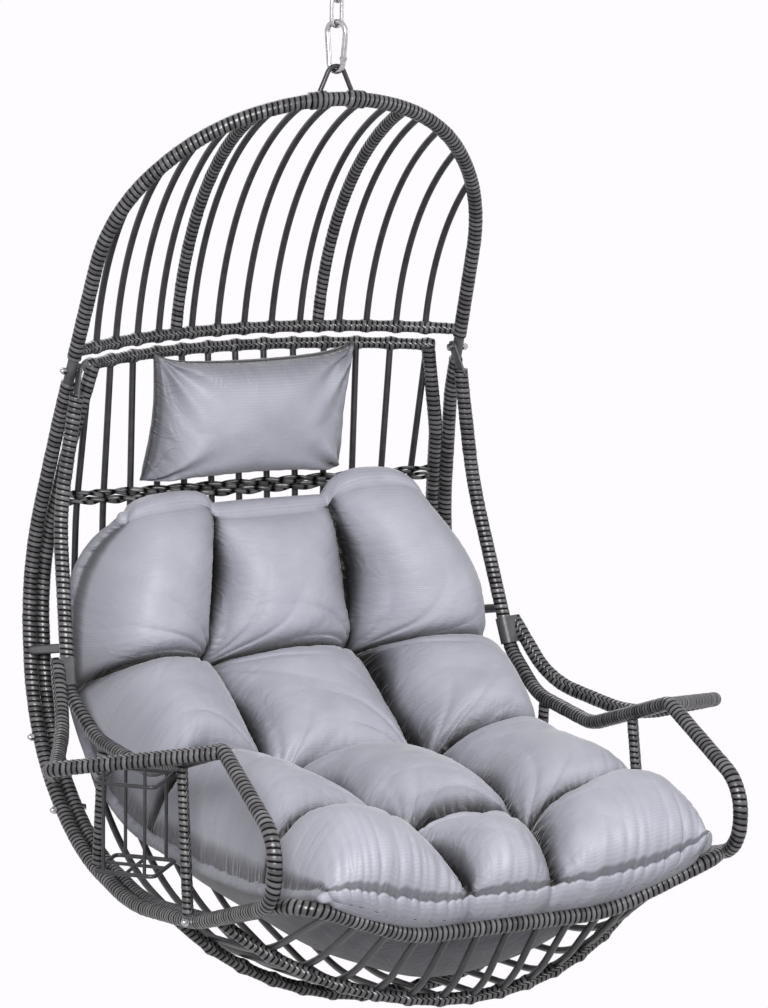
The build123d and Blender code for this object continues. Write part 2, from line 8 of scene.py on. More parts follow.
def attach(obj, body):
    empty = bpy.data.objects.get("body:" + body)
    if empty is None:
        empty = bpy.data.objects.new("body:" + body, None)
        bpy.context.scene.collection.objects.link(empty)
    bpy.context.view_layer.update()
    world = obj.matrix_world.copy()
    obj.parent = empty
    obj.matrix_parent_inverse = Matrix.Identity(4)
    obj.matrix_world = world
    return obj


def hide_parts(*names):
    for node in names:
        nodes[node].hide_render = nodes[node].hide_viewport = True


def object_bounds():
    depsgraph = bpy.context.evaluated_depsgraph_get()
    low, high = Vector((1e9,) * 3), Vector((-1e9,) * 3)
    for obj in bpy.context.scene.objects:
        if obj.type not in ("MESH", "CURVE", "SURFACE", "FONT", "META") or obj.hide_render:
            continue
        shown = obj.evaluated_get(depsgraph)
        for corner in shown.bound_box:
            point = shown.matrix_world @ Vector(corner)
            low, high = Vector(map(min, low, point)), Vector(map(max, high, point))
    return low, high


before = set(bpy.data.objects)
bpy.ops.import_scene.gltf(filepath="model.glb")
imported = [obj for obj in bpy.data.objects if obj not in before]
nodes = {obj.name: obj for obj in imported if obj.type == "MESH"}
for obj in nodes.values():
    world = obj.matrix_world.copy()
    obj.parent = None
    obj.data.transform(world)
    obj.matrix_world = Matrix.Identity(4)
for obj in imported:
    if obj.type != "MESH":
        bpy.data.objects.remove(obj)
cad_low, cad_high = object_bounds()
rng = np.random.default_rng(7)

# Sizes shared with the solid model, in millimetres; a place is (x, y, drop below the hanger, bend radius)
MM_PER_M = 1000
HANG = -131.6
TUBE, BAR, POST = 21.5, 18.5, 16.5
RIGHT = np.array([1.0, 0, 0])
UP = np.array([0, 0, 1.0])


def at(place):
    return np.array([place[0], place[1], HANG - place[2]], float)


def place_of(point, bend):
    return (point[0], point[1], HANG - point[2], bend)


def unit(vector):
    return vector / np.linalg.norm(vector)


def ease(low, high, value):
    t = np.clip((value - low) / (high - low), 0, 1)
    return t * t * (3 - 2 * t)


# Centre lines; the direction aside is one that no line starts along
STEP, BEND_SHARE = 1.0, 0.48
ASIDE = (0.3, 0.2, 0.93)


def run_along(points):
    return np.concatenate([[0], np.cumsum(np.linalg.norm(np.diff(points, axis=0), axis=1))])


def even(points):
    length = run_along(points)
    wanted = np.linspace(0, length[-1], max(2, int(length[-1] / STEP)))
    return np.stack([np.interp(wanted, length, points[:, k]) for k in range(3)], 1)


def sample_bends(corners):
    # Straight runs joined by tangent arcs; a bend takes at most its share of the shorter run
    points = [at(c) for c in corners]
    pieces = [points[0][None]]
    for i in range(1, len(points) - 1):
        here = points[i]
        a, b = points[i - 1] - here, points[i + 1] - here
        shorter = min(np.linalg.norm(a), np.linalg.norm(b))
        a, b = unit(a), unit(b)
        turn = math.pi - math.acos(np.clip(a @ b, -1, 1))
        radius = min(corners[i][3], BEND_SHARE * shorter / math.tan(turn / 2))
        start = here + a * radius * math.tan(turn / 2)
        centre = here + unit(a + b) * (radius / math.cos(turn / 2))
        angle = np.linspace(0, turn, max(3, int(radius * turn / STEP)))[:, None]
        pieces.append(centre + np.cos(angle) * (start - centre) - radius * np.sin(angle) * a)
    pieces.append(points[-1][None])
    return even(np.concatenate(pieces))


def three_point(a, b, c):
    # The arc through three places
    a, b, c = at(a), at(b), at(c)
    normal = unit(np.cross(b - a, c - a))
    rows = np.array([b - a, c - a, normal])
    centre = np.linalg.solve(rows, [(b @ b - a @ a) / 2, (c @ c - a @ a) / 2, normal @ a])
    u = a - centre
    w = np.cross(normal, u)
    end = math.atan2((c - centre) @ w, (c - centre) @ u) % (2 * math.pi)
    angle = np.linspace(0, end, max(8, int(np.linalg.norm(u) * end / STEP)))[:, None]
    return centre + np.cos(angle) * u + np.sin(angle) * w


def tangent_arc(start, tangent, end):
    # The arc that leaves start along tangent and reaches end
    tangent = unit(tangent)
    chord = end - start
    side = unit(chord - (chord @ tangent) * tangent)
    radius = (chord @ chord) / (2 * chord @ side)
    sweep = 2 * math.atan2(chord @ side, chord @ tangent)
    angle = np.linspace(0, sweep, max(8, int(radius * sweep / STEP)))[:, None]
    return start + radius * (np.sin(angle) * tangent + (1 - np.cos(angle)) * side)


def at_x(points, x):
    return points[np.argmin(np.abs(points[:, 0] - x))]


def mirrored(points):
    return points * np.array([-1.0, 1.0, 1.0])


# Meshes
def make_mesh(name, verts, faces, uv=None, shade=None):
    mesh = bpy.data.meshes.new(name)
    mesh.from_pydata((np.asarray(verts) / MM_PER_M).tolist(), [], faces)
    if uv is not None:
        layer = mesh.uv_layers.new(name="turns")
        index = np.empty(len(mesh.loops), np.int32)
        mesh.loops.foreach_get("vertex_index", index)
        layer.data.foreach_set("uv", np.asarray(uv, np.float32)[index].ravel())
    # Painted shade, one value a point, kept in a colour layer that darkens the cloth's colour
    if shade is not None:
        layer = mesh.color_attributes.new("painted_shade", "FLOAT_COLOR", "POINT")
        colour = np.repeat(np.asarray(shade, np.float32)[:, None], 4, 1)
        layer.data.foreach_set("color", colour.ravel())
    mesh.polygons.foreach_set("use_smooth", np.ones(len(mesh.polygons), bool))
    mesh.update()
    obj = bpy.data.objects.new(name, mesh)
    bpy.context.scene.collection.objects.link(obj)
    return obj


def grid_faces(rows, cols, closed):
    i, j = np.meshgrid(np.arange(rows - 1), np.arange(cols if closed else cols - 1), indexing="ij")
    k = (j + 1) % cols
    quads = np.stack([i * cols + j, i * cols + k, (i + 1) * cols + k, (i + 1) * cols + j], -1)
    return quads.reshape(-1, 4).tolist()


def capped_faces(rows, sides):
    faces = grid_faces(rows, sides, True)
    faces.append(list(range(sides))[::-1])
    faces.append(list(range((rows - 1) * sides, rows * sides)))
    return faces


def frames_along(points):
    # Two directions square to the line, carried along it without twist
    tangent = np.gradient(points, axis=0)
    tangent /= np.linalg.norm(tangent, axis=1)[:, None]
    side = np.zeros_like(points)
    side[0] = unit(np.cross(tangent[0], ASIDE))
    for i in range(1, len(points)):
        side[i] = unit(side[i - 1] - (side[i - 1] @ tangent[i]) * tangent[i])
    return side, np.cross(tangent, side)


# The strap's lie: spacing of the turns, how far they stand up, their tilt and their looseness
TURN_PITCH, TURN_RIDGE, TURN_FLATNESS = 8.2, 1.1, 6
TURN_LOW, TURN_TILT, TURN_LOOSE = 0.8, 0.35, 0.12
TUBE_SIDES, STRAND_SIDES = 16, 8


def circle_angles(sides):
    return np.arange(sides) / sides * 2 * math.pi


def wound_tube(name, points, diameter, swell=None):
    # A flat strap wound round a tube: each turn stands proud, tilts a little and ends in a groove
    side, other = frames_along(points)
    angle = circle_angles(TUBE_SIDES)
    phase = run_along(points)[:, None] / TURN_PITCH + angle[None] / (2 * math.pi)
    turn = np.floor(phase).astype(int)
    part = phase - turn
    loose = rng.normal(0, TURN_LOOSE, turn.max() + 2)[turn]
    crown = 1 - np.abs(2 * part - 1) ** TURN_FLATNESS
    radius = diameter / 2 - TURN_RIDGE + TURN_RIDGE * (crown * (TURN_LOW + TURN_TILT * part)) + loose
    if swell is not None:
        radius = radius + swell(points)[:, None]
    ring = np.cos(angle)[None, :, None] * side[:, None] + np.sin(angle)[None, :, None] * other[:, None]
    verts = (points[:, None] + ring * radius[..., None]).reshape(-1, 3)
    uv = np.stack([np.broadcast_to(angle / (2 * math.pi), phase.shape), phase], -1).reshape(-1, 2)
    return make_mesh(name, verts, capped_faces(len(points), TUBE_SIDES), uv)


def flat_strand(points, width, thick, tilt):
    side, other = frames_along(points)
    angle = circle_angles(STRAND_SIDES)
    flat = side * math.cos(tilt) + other * math.sin(tilt)
    tall = other * math.cos(tilt) - side * math.sin(tilt)
    ring = (np.cos(angle)[None, :, None] * flat[:, None] * width / 2
            + np.sin(angle)[None, :, None] * tall[:, None] * thick / 2)
    return (points[:, None] + ring).reshape(-1, 3)


# Shader helpers
def new_material(name):
    mat = bpy.data.materials.new(name)
    mat.use_nodes = True
    tree = mat.node_tree
    return mat, tree, tree.nodes["Principled BSDF"]


def node(tree, kind, **inputs):
    n = tree.nodes.new(kind)
    for key, value in inputs.items():
        n.inputs[key].default_value = value
    return n


def texture(tree, kind, vector, **inputs):
    n = node(tree, kind, **inputs)
    tree.links.new(vector, n.inputs["Vector"])
    return n


def wave(tree, vector, direction, **inputs):
    n = texture(tree, "ShaderNodeTexWave", vector, **inputs)
    n.bands_direction = direction
    return n.outputs["Fac"]


def surface_map(tree):
    n = tree.nodes.new("ShaderNodeUVMap")
    n.uv_map = "turns"
    return n.outputs[0]


def ramp(tree, source, stops):
    n = tree.nodes.new("ShaderNodeValToRGB")
    elements = n.color_ramp.elements
    elements[0].position, elements[0].color = stops[0][0], (*stops[0][1], 1)
    elements[1].position, elements[1].color = stops[-1][0], (*stops[-1][1], 1)
    for position, colour in stops[1:-1]:
        elements.new(position).color = (*colour, 1)
    tree.links.new(source, n.inputs[0])
    return n.outputs[0]


def calculate(tree, operation, *values):
    # Each value is a number or a socket
    n = tree.nodes.new("ShaderNodeMath")
    n.operation = operation
    for value, socket in zip(values, n.inputs):
        if isinstance(value, float):
            socket.default_value = value
        else:
            tree.links.new(value, socket)
    return n.outputs[0]


def multiply_colours(tree, a, b):
    n = tree.nodes.new("ShaderNodeMix")
    n.data_type = "RGBA"
    n.blend_type = "MULTIPLY"
    n.inputs[0].default_value = 1.0
    tree.links.new(a, n.inputs[6])
    tree.links.new(b, n.inputs[7])
    return n.outputs[2]


def map_range(tree, source, low, high):
    n = tree.nodes.new("ShaderNodeMapRange")
    n.inputs[3].default_value = low
    n.inputs[4].default_value = high
    tree.links.new(source, n.inputs[0])
    return n.outputs[0]


def bump(tree, height, strength, distance, normal=None):
    n = node(tree, "ShaderNodeBump", Strength=strength, Distance=distance)
    tree.links.new(height, n.inputs["Height"])
    if normal is not None:
        tree.links.new(normal, n.inputs["Normal"])
    return n.outputs[0]


# Materials
def strap_material():
    # Charcoal strap: a tone of its own for each turn, a fine grain, and painted shade in the grooves, which
    # also lose their shine
    mat, tree, bsdf = new_material("wound strap")
    link = tree.links.new
    split = tree.nodes.new("ShaderNodeSeparateXYZ")
    link(surface_map(tree), split.inputs[0])
    turns = split.outputs["Y"]
    shade = tree.nodes.new("ShaderNodeTexWhiteNoise")
    shade.noise_dimensions = "1D"
    link(calculate(tree, "FLOOR", turns), shade.inputs["W"])
    tone = ramp(tree, shade.outputs["Value"], [(0.0, (0.045, 0.043, 0.046)), (1.0, (0.135, 0.131, 0.136))])
    # Painted shade: the grooves between turns are darkened to near black
    dark, plain = (0.03, 0.03, 0.03), (1, 1, 1)
    groove_shade = ramp(tree, calculate(tree, "FRACT", turns),
                  [(0.0, dark), (0.1, dark), (0.36, plain), (0.76, plain), (0.95, dark)])
    link(multiply_colours(tree, tone, groove_shade), bsdf.inputs["Base Color"])
    grain = node(tree, "ShaderNodeTexNoise", Scale=900.0, Detail=2.0).outputs[0]
    link(map_range(tree, grain, 0.22, 0.36), bsdf.inputs["Roughness"])
    link(bump(tree, grain, 0.25, 0.0004), bsdf.inputs["Normal"])
    link(calculate(tree, "MULTIPLY", groove_shade, 0.7), bsdf.inputs["Specular IOR Level"])
    return mat


def speckled(name, low, high, rough_low, rough_high, metallic=0.0, scale=60.0, bump_size=0.0002):
    # Paint or metal with a little unevenness in its tone and polish
    mat, tree, bsdf = new_material(name)
    link = tree.links.new
    place = tree.nodes.new("ShaderNodeTexCoord").outputs["Object"]
    broad = texture(tree, "ShaderNodeTexNoise", place, Scale=scale, Detail=4.0).outputs[0]
    link(ramp(tree, broad, [(0.3, low), (0.7, high)]), bsdf.inputs["Base Color"])
    fine = texture(tree, "ShaderNodeTexNoise", place, Scale=scale * 9, Detail=3.0).outputs[0]
    link(map_range(tree, fine, rough_low, rough_high), bsdf.inputs["Roughness"])
    link(bump(tree, fine, 0.3, bump_size), bsdf.inputs["Normal"])
    bsdf.inputs["Metallic"].default_value = metallic
    return mat


def cloth_material():
    # Grey ribbed weave with a satin sheen, painted shade in the creases and puckered near them; mapped in
    # millimetres
    mat, tree, bsdf = new_material("grey cloth")
    link = tree.links.new
    place = surface_map(tree)
    broad = texture(tree, "ShaderNodeTexNoise", place, Scale=0.02, Detail=3.0).outputs[0]
    tone = ramp(tree, broad, [(0.3, (0.352, 0.355, 0.412)), (0.7, (0.402, 0.405, 0.462))])
    rib = wave(tree, place, "Y", Scale=0.095, Distortion=0.35, Detail=1.0)
    thread = wave(tree, place, "X", Scale=0.16, Distortion=0.2)
    weave = calculate(tree, "MULTIPLY_ADD", thread, 0.4, rib)
    woven = multiply_colours(tree, tone, ramp(tree, weave, [(0.0, (0.9, 0.9, 0.9)), (1.0, (1.0, 1.0, 1.0))]))
    # Painted shade: the mesh's shade layer darkens the creases, tufts, seams, edges, sides and underside
    painted_shade = node(tree, "ShaderNodeVertexColor")
    painted_shade.layer_name = "painted_shade"
    link(multiply_colours(tree, woven, painted_shade.outputs["Color"]), bsdf.inputs["Base Color"])
    puckers = texture(tree, "ShaderNodeTexNoise", place, Scale=0.03, Detail=2.0, Distortion=1.4).outputs[0]
    ridge = ramp(tree, puckers, [(0.36, (1, 1, 1)), (0.5, (0, 0, 0)), (0.64, (1, 1, 1))])
    slack = map_range(tree, painted_shade.outputs["Color"], 1.0, 0.09)
    folds = bump(tree, calculate(tree, "MULTIPLY", ridge, slack), 0.55, 0.004)
    link(bump(tree, weave, 0.18, 0.0005, folds), bsdf.inputs["Normal"])
    bsdf.inputs["Roughness"].default_value = 0.5
    bsdf.inputs["Specular IOR Level"].default_value = 0.35
    bsdf.inputs["Sheen Weight"].default_value = 0.2
    bsdf.inputs["Sheen Roughness"].default_value = 0.4
    return mat


strap = strap_material()
paint = speckled("black paint", (0.012, 0.012, 0.014), (0.03, 0.03, 0.033), 0.28, 0.45)
dull_paint = speckled("dark tube", (0.04, 0.04, 0.045), (0.08, 0.08, 0.085), 0.3, 0.5)
zinc = speckled("bright zinc", (0.36, 0.36, 0.37), (0.52, 0.52, 0.53), 0.16, 0.32, metallic=1.0,
                scale=120.0, bump_size=0.00004)
cloth = cloth_material()


def dress(name, material):
    # A solid whose shape is right keeps it and takes a better finish
    nodes[name].data.materials.clear()
    nodes[name].data.materials.append(material)


def finish_piece(obj, material, slot_name, *stands_for):
    obj.data.materials.append(material)
    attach(obj, "chair")
    if stands_for:
        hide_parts(*stands_for)


# Hood lines: the arch lies on a bowed slope that leans from its feet to the hanger
HOOD_HALF, HOOD_RADIUS, HOOD_BOW = 318.0, 302.0, 27.0
BASE_Y, BASE_DROP, APEX_Y, APEX_DROP = 211.0, 438.0, -4.0, 47.0
SLOPE = math.hypot(BASE_Y - APEX_Y, BASE_DROP - APEX_DROP)
ARCH_STEP = 36.0
CROSSBAR_RISE, CROSSBAR_MIDDLE = 10.0, (0, 310, 424)
STAY_X, STAY_LEAN = 118.0, 9.0


def hood_front(x, along):
    share = along / SLOPE
    lift = 4 * HOOD_BOW * share * (1 - share)
    back, rise = (APEX_Y - BASE_Y) / SLOPE, (BASE_DROP - APEX_DROP) / SLOPE
    return (x, BASE_Y + along * back + lift * rise, BASE_DROP - along * rise + lift * back, HOOD_RADIUS)


def left_of(places):
    return [(-p[0], *p[1:]) for p in places]


arch_corner = HOOD_RADIUS / math.cos(math.radians(ARCH_STEP / 2))
arch_right = [hood_front(HOOD_HALF, 0)]
for degrees in (ARCH_STEP / 2, ARCH_STEP * 1.5):
    turned = math.radians(degrees)
    height = SLOPE - HOOD_RADIUS + arch_corner * math.sin(turned)
    arch_right.append(hood_front(arch_corner * math.cos(turned), height))
arch_top = hood_front(0, SLOPE - HOOD_RADIUS + arch_corner)
arch = sample_bends(left_of(arch_right) + [arch_top] + arch_right[::-1])
crossbar_end = hood_front(HOOD_HALF, CROSSBAR_RISE)[:3]
crossbar = three_point(*left_of([crossbar_end]), CROSSBAR_MIDDLE, crossbar_end)
stay_lean = math.radians(STAY_LEAN)
stay = tangent_arc(at_x(crossbar, STAY_X), np.array([0, -math.sin(stay_lean), math.cos(stay_lean)]),
                   at_x(arch, STAY_X))

# Side frame and arm lines, for the right side
SPIGOT_GAP, SIDE_STRAIGHT = 41.0, 61.6
foot = at(arch_right[0])
down = unit(foot - at(arch_right[1]))
side_top = foot + down * SPIGOT_GAP
rear = [(350.0, 318.0, 773.0, 420.0), (362.0, 262.0, 1003.0, 420.0), (363.0, 95.0, 1143.0, 420.0),
        (363.0, -120.0, 1174.0, 420.0), (361.0, -340.0, 1140.0, 420.0)]
front_and_arm = [(358.0, -588.0, 1049.0, 60.0), (357.0, -589.0, 959.0, 60.0), (349.0, -400.0, 882.0, 30.0),
                 (356.0, -165.0, 967.0, 150.0), (361.0, 15.0, 963.0, 150.0), (366.0, 112.0, 914.0, 50.0),
                 (343.0, 205.0, 668.0, 300.0), (317.0, 203.0, 490.0, 0.0)]
side_start = [place_of(side_top, 0), place_of(side_top + down * SIDE_STRAIGHT, 300.0)]
side_frame = sample_bends(side_start + rear + front_and_arm)
arm_loop = sample_bends([(378.0, 127.0, 870.0, 0.0), (400.0, 48.0, 952.0, 150.0),
                         (470.0, -90.0, 982.0, 200.0), (532.0, -228.0, 932.0, 30.0),
                         (350.0, -398.0, 885.0, 0.0)])
post_front = even(np.stack([at((357.0, -280.0, 925.0)), at((361.5, -316.0, 1140.0))]))
post_rear = even(np.stack([at((361.0, -8.0, 961.0)), at((363.0, 8.0, 1152.0))]))

# Basket lines: the rim runs beside the side frames' rear tubes
RIM_BESIDE = TUBE + 0.3
bar_end = (288.0, 237.0, 455.0)
bar = three_point(*left_of([bar_end]), (0, 342.0, 455.0), bar_end)
rim_right = [(bar_end[0] - TUBE / 2, *bar_end[1:], 0.0), (329.0 - RIM_BESIDE, 264.0, 590.0, 300.0)]
rim_right += [(p[0] - RIM_BESIDE, *p[1:]) for p in rear]
rim_right += [(336.0, -606.0, 1043.0, 45.0), (150.0, -585.0, 1118.0, 200.0)]
rim = sample_bends(left_of(rim_right) + rim_right[::-1])
cross_front = three_point((-340.0, -372.0, 1130.0), (0, -470.0, 1254.0), (340.0, -372.0, 1130.0))
cross_rear = three_point((-340.0, -200.0, 1164.0), (0, -225.0, 1318.0), (340.0, -200.0, 1164.0))

# Bindings: wide straps at the hanger's feet, and a knot where each rib is tied on
HANGER_FOOT_X, BINDING_HALF, BINDING_HIGH, BINDING_DROP = 30.0, 13.0, 2.6, 120.0
KNOT_HIGH, KNOT_HALF, KNOT_SINK = 2.6, 7.0, 0.4
HOOD_RIBS = (0.0, 45.0, 90.0, 118.0, 150.0, 190.0, 232.0, 272.0)
RIB_PITCH = 46.5
BASKET_RIBS = tuple(RIB_PITCH * n for n in range(7))


def hanger_binding(points):
    near = np.abs(np.abs(points[:, 0]) - HANGER_FOOT_X) < BINDING_HALF
    return np.where(near & (points[:, 2] > HANG - BINDING_DROP), BINDING_HIGH, 0.0)


def lashings(places):
    def swell(points):
        gap = np.min(np.abs(np.abs(points[:, 0])[:, None] - np.array(places)), axis=1)
        return KNOT_HIGH * np.exp(-(gap / KNOT_HALF) ** 2) - KNOT_SINK
    return swell


# Wound tubes
basket_knots = lashings(BASKET_RIBS)
for name, line, size, swell in (
    ("hood_arch", arch, TUBE, hanger_binding), ("hood_crossbar", crossbar, BAR, lashings(HOOD_RIBS)),
    ("basket_bar", bar, BAR, basket_knots), ("basket_rim", rim, TUBE, None),
    ("seat_cross_front", cross_front, BAR, basket_knots), ("seat_cross_rear", cross_rear, BAR, basket_knots),
):
    finish_piece(wound_tube(name + "_winding", line, size, swell), strap, "wicker_wound_tube", name)
for name, line, size in (
    ("hood_stay", stay, BAR), ("side_frame", side_frame, TUBE), ("arm_loop", arm_loop, TUBE),
    ("arm_post_front", post_front, POST), ("arm_post_rear", post_rear, POST),
):
    for side_name, path in (("right", line), ("left", mirrored(line))):
        piece = wound_tube(f"{name}_{side_name}_winding", path, size)
        finish_piece(piece, strap, "wicker_wound_tube", f"{name}_{side_name}")

# Flat tabs: the arm end of each side frame is pressed flat and bolted to the bare spigot
TAB_WIDE, TAB_THICK, TAB_PAST, TAB_FORWARD = 20.0, 4.0, 11.0, 5.0
TAB_ROWS, TAB_SIDES = 60, 24
TAB_EDGE, TAB_FACE = 0.35, 0.55
TAB_SPACING, TAB_TIP = 0.6, 1e-4
SPIGOT, SPIGOT_CLEAR = 16.2, 0.3
tab_centre = foot + down * SPIGOT_GAP / 2
tab_centre[0] -= SPIGOT / 2 + SPIGOT_CLEAR + TAB_THICK / 2
tab_centre[1] -= TAB_FORWARD
tab_root = side_frame[-1]
tab_up = unit(tab_centre - tab_root)
tab_wide = unit(np.cross(RIGHT, tab_up))
tab_thin = np.cross(tab_up, tab_wide)


def signed_power(value, power):
    return np.sign(value) * np.abs(value) ** power


def tab_plate(name, flip):
    # A strip with rounded long edges, rounded off at the top and let into the tube at the foot
    reach = np.linalg.norm(tab_centre - tab_root)
    heights = -TAB_PAST + (reach + 2 * TAB_PAST) * np.linspace(0, 1, TAB_ROWS) ** TAB_SPACING
    angle = circle_angles(TAB_SIDES)
    wide = signed_power(np.cos(angle), TAB_EDGE)[:, None] * tab_wide
    thin = signed_power(np.sin(angle), TAB_FACE)[:, None] * tab_thin * TAB_THICK / 2
    rows = []
    for height in heights:
        over = max(0.0, height - reach) / TAB_PAST
        half = TAB_WIDE / 2 * math.sqrt(max(TAB_TIP, 1 - over ** 2))
        rows.append(tab_root + tab_up * height + half * wide + thin)
    verts = np.concatenate(rows)
    faces = capped_faces(TAB_ROWS, TAB_SIDES)
    if flip:
        verts = mirrored(verts)
        faces = [f[::-1] for f in faces]
    return make_mesh(name, verts, faces)


for side_name, flip in (("right", False), ("left", True)):
    finish_piece(tab_plate(f"arm_tab_{side_name}", flip), dull_paint, "painted_steel")

# Woven band across the back: strands that pass in front of and behind the ribs in turn
BAND_END, BAND_MIDDLE = (306.0, 281.0, 661.0), (0, 319.0, 671.0)
WEAVE_LENGTH, WEAVE_DEEP, WEAVE_HIGH = 93.0, 7.5, 3.0
STRAND_WIDE, STRAND_THICK, STRAND_TILT = 8.0, 4.6, 0.6
STRANDS = ((5.5, 0.0), (5.5, 0.5), (-5.5, 0.25), (-5.5, 0.75))
SHADE_LENGTH, SHADE_SHIFT = 24.0, 7.3


def back_weave():
    band = three_point(*left_of([BAND_END]), BAND_MIDDLE, BAND_END)
    run = run_along(band)
    run -= run[-1] / 2
    outward = np.cross(np.gradient(band, axis=0), UP)
    outward /= np.linalg.norm(outward, axis=1)[:, None]
    quads = grid_faces(len(band), STRAND_SIDES, True)
    verts, faces, uv = [], [], []
    for row, (height, start) in enumerate(STRANDS):
        cycle = 2 * math.pi * (run / WEAVE_LENGTH + start)
        line = band + outward * (WEAVE_DEEP * np.sin(cycle))[:, None]
        line = line + UP * (height + WEAVE_HIGH * np.cos(cycle))[:, None]
        first = row * len(band) * STRAND_SIDES
        faces += [[i + first for i in f] for f in quads]
        verts.append(flat_strand(line, STRAND_WIDE, STRAND_THICK, STRAND_TILT))
        turn = np.tile(np.arange(STRAND_SIDES) / STRAND_SIDES, len(band))
        uv.append(np.stack([turn, np.repeat(run / SHADE_LENGTH + row * SHADE_SHIFT, STRAND_SIDES)], 1))
    return make_mesh("back_weave", np.concatenate(verts), faces, np.concatenate(uv))


finish_piece(back_weave(), strap, "wicker_binding", "back_weave_band")

# Cushion: four rows of three puffs, each row over three stations from the top to the front
BACK_Y, BACK_DROP, FACE_Y, FACE_DROP, HALF, SEAM, SEAM_HIGH, RISE, SAG = range(9)
stations = np.array([
    [236.0, 664.0, 196.0, 668.0, 235.0, 96.0, 28.0, 12.0, 0.0],
    [292.0, 772.0, 118.0, 776.0, 280.0, 108.0, 118.0, 18.0, 4.0],
    [280.0, 955.0, 146.0, 881.0, 292.0, 120.0, 124.0, 30.0, 10.0],
    [135.0, 1092.0, 14.0, 905.0, 296.0, 120.0, 160.0, 45.0, 55.0],
    [-36.0, 1150.0, -78.0, 1004.0, 298.0, 118.0, 130.0, 55.0, 80.0],
    [-245.0, 1158.0, -250.0, 950.0, 300.0, 108.0, 148.0, 62.0, 88.0],
    [-425.0, 1142.0, -436.0, 988.0, 300.0, 95.0, 136.0, 66.0, 85.0],
    [-492.0, 1126.0, -535.0, 1002.0, 298.0, 76.0, 94.0, 70.0, 66.0],
    [-557.0, 1101.0, -582.0, 1062.0, 288.0, 64.0, 36.0, 70.0, 14.0],
])
LAST = len(stations) - 1
LAST_ROW = LAST // 2 - 1
CREASES = (2, 4, 6)
SETTLE = 10.1
EDGE_LEFT, EDGE_RIGHT, EDGE_BULGE = 18.0, 50.0, 12.0
DRAW_IN, SEAM_IN, SWELL_OUT = 42.0, 38.0, 9.0
ROW_RISE_MIDDLE = (0.0, 0.0, 0.0, 20.0)
ROW_RISE_SIDES = (0.0, 0.0, -22.0, 26.0)
ACROSS, EDGE_POINTS, UNDER_POINTS, RINGS = 250, 10, 70, 580
ACROSS_EVENNESS = 0.97 * math.pi / 2
# Painted shade on the cushion's sides and underside; the rounded ends are made a little darker
UNDER_PAINTED_SHADE, END_TONE = 0.65, 0.9
# How sharp and how full a puff is across, along, at the rolled top and at the lobed ends
PUFF_ACROSS, PUFF_ALONG, PUFF_TOP, PUFF_LOBE = (2.3, 0.52), (2.5, 0.46), (2.0, 0.5), (2.6, 0.5)


def full(a, sharp, power):
    # 1 in the middle of a puff, 0 at its edges
    return np.clip(1 - np.abs(a) ** sharp, 0, 1) ** power


def station_at(v):
    # The station's values, the puff's crown, the seam's height, the row and the place along the row
    row = min(int(v // 2), LAST_ROW)
    t = (v - 2 * row) / 2
    b = 2 * t - 1
    first, middle, last = stations[2 * row:2 * row + 3]
    value = (2 * t - 1) * (t - 1) * first + 4 * t * (1 - t) * middle + t * (2 * t - 1) * last
    drawn = DRAW_IN * (row > 0), DRAW_IN * (row < LAST_ROW)
    tall = [math.hypot(s[FACE_Y] - s[BACK_Y], s[FACE_DROP] - s[BACK_DROP]) for s in (first, middle, last)]
    tall = [tall[0] - drawn[0], tall[1] + SWELL_OUT, tall[2] - drawn[1]]
    rolls_over = row == 0 and b < 0
    swell = float(full(b, *(PUFF_TOP if rolls_over else PUFF_ALONG)))
    crown = tall[0] + (tall[2] - tall[0]) * t + (tall[1] - (tall[0] + tall[2]) / 2) * swell
    low = [first[SEAM_HIGH] - drawn[0], middle[SEAM_HIGH] - SEAM_IN, last[SEAM_HIGH] - drawn[1]]
    dip = low[0] + (low[2] - low[0]) * t + (low[1] - (low[0] + low[2]) / 2) * (1 - b * b)
    return value, crown, dip, row, b


FULL_TURN = 6.28
steps = np.linspace(0, LAST, RINGS)
phase = rng.uniform(0, FULL_TURN, (8, 8))
face_line = np.array([station_at(v)[0][FACE_Y:FACE_DROP + 1] for v in steps])
profile = run_along(face_line)
row_run = np.interp(range(LAST + 1), steps, profile)
tufts = [(side * stations[i][SEAM], row_run[i]) for i in CREASES for side in (-1, 1)]
tuft_folds = [(rng.integers(6, 9), rng.uniform(0, FULL_TURN)) for tuft in tufts]
FOLD_LENGTHS = (29.0, 43.0, 61.0, 97.0)
# How high each gather stands and how far it reaches
SEAM_GATHER, ROW_GATHER, FRONT_GATHER = (2.6, 24.0), (3.6, 30.0), (6.0, 46.0)
TUFT_DEEP, TUFT_WIDE, TUFT_SHADE = 22.0, 18.0, 9.0
PINCH_HIGH, PINCH_REACH, PINCH_START = 17.0, 56.0, 17.0


def gathers(along, start):
    # Uneven pleats: waves of several lengths, with sharp hollows between round tops
    total = sum(np.sin(2 * math.pi * along / length + start * (1.7 + k))
                for k, length in enumerate(FOLD_LENGTHS)) / 2
    return 1 - 1.6 * np.exp(-np.sqrt(total ** 2 + 0.02) * 2.2)


def columns(x, half, seam):
    # Which points are in the middle column, and the place across the column, -1 to 1
    ax = np.abs(x)
    middle = ax <= seam
    return middle, np.where(middle, x / seam, (ax - (half + seam) / 2) / ((half - seam) / 2))


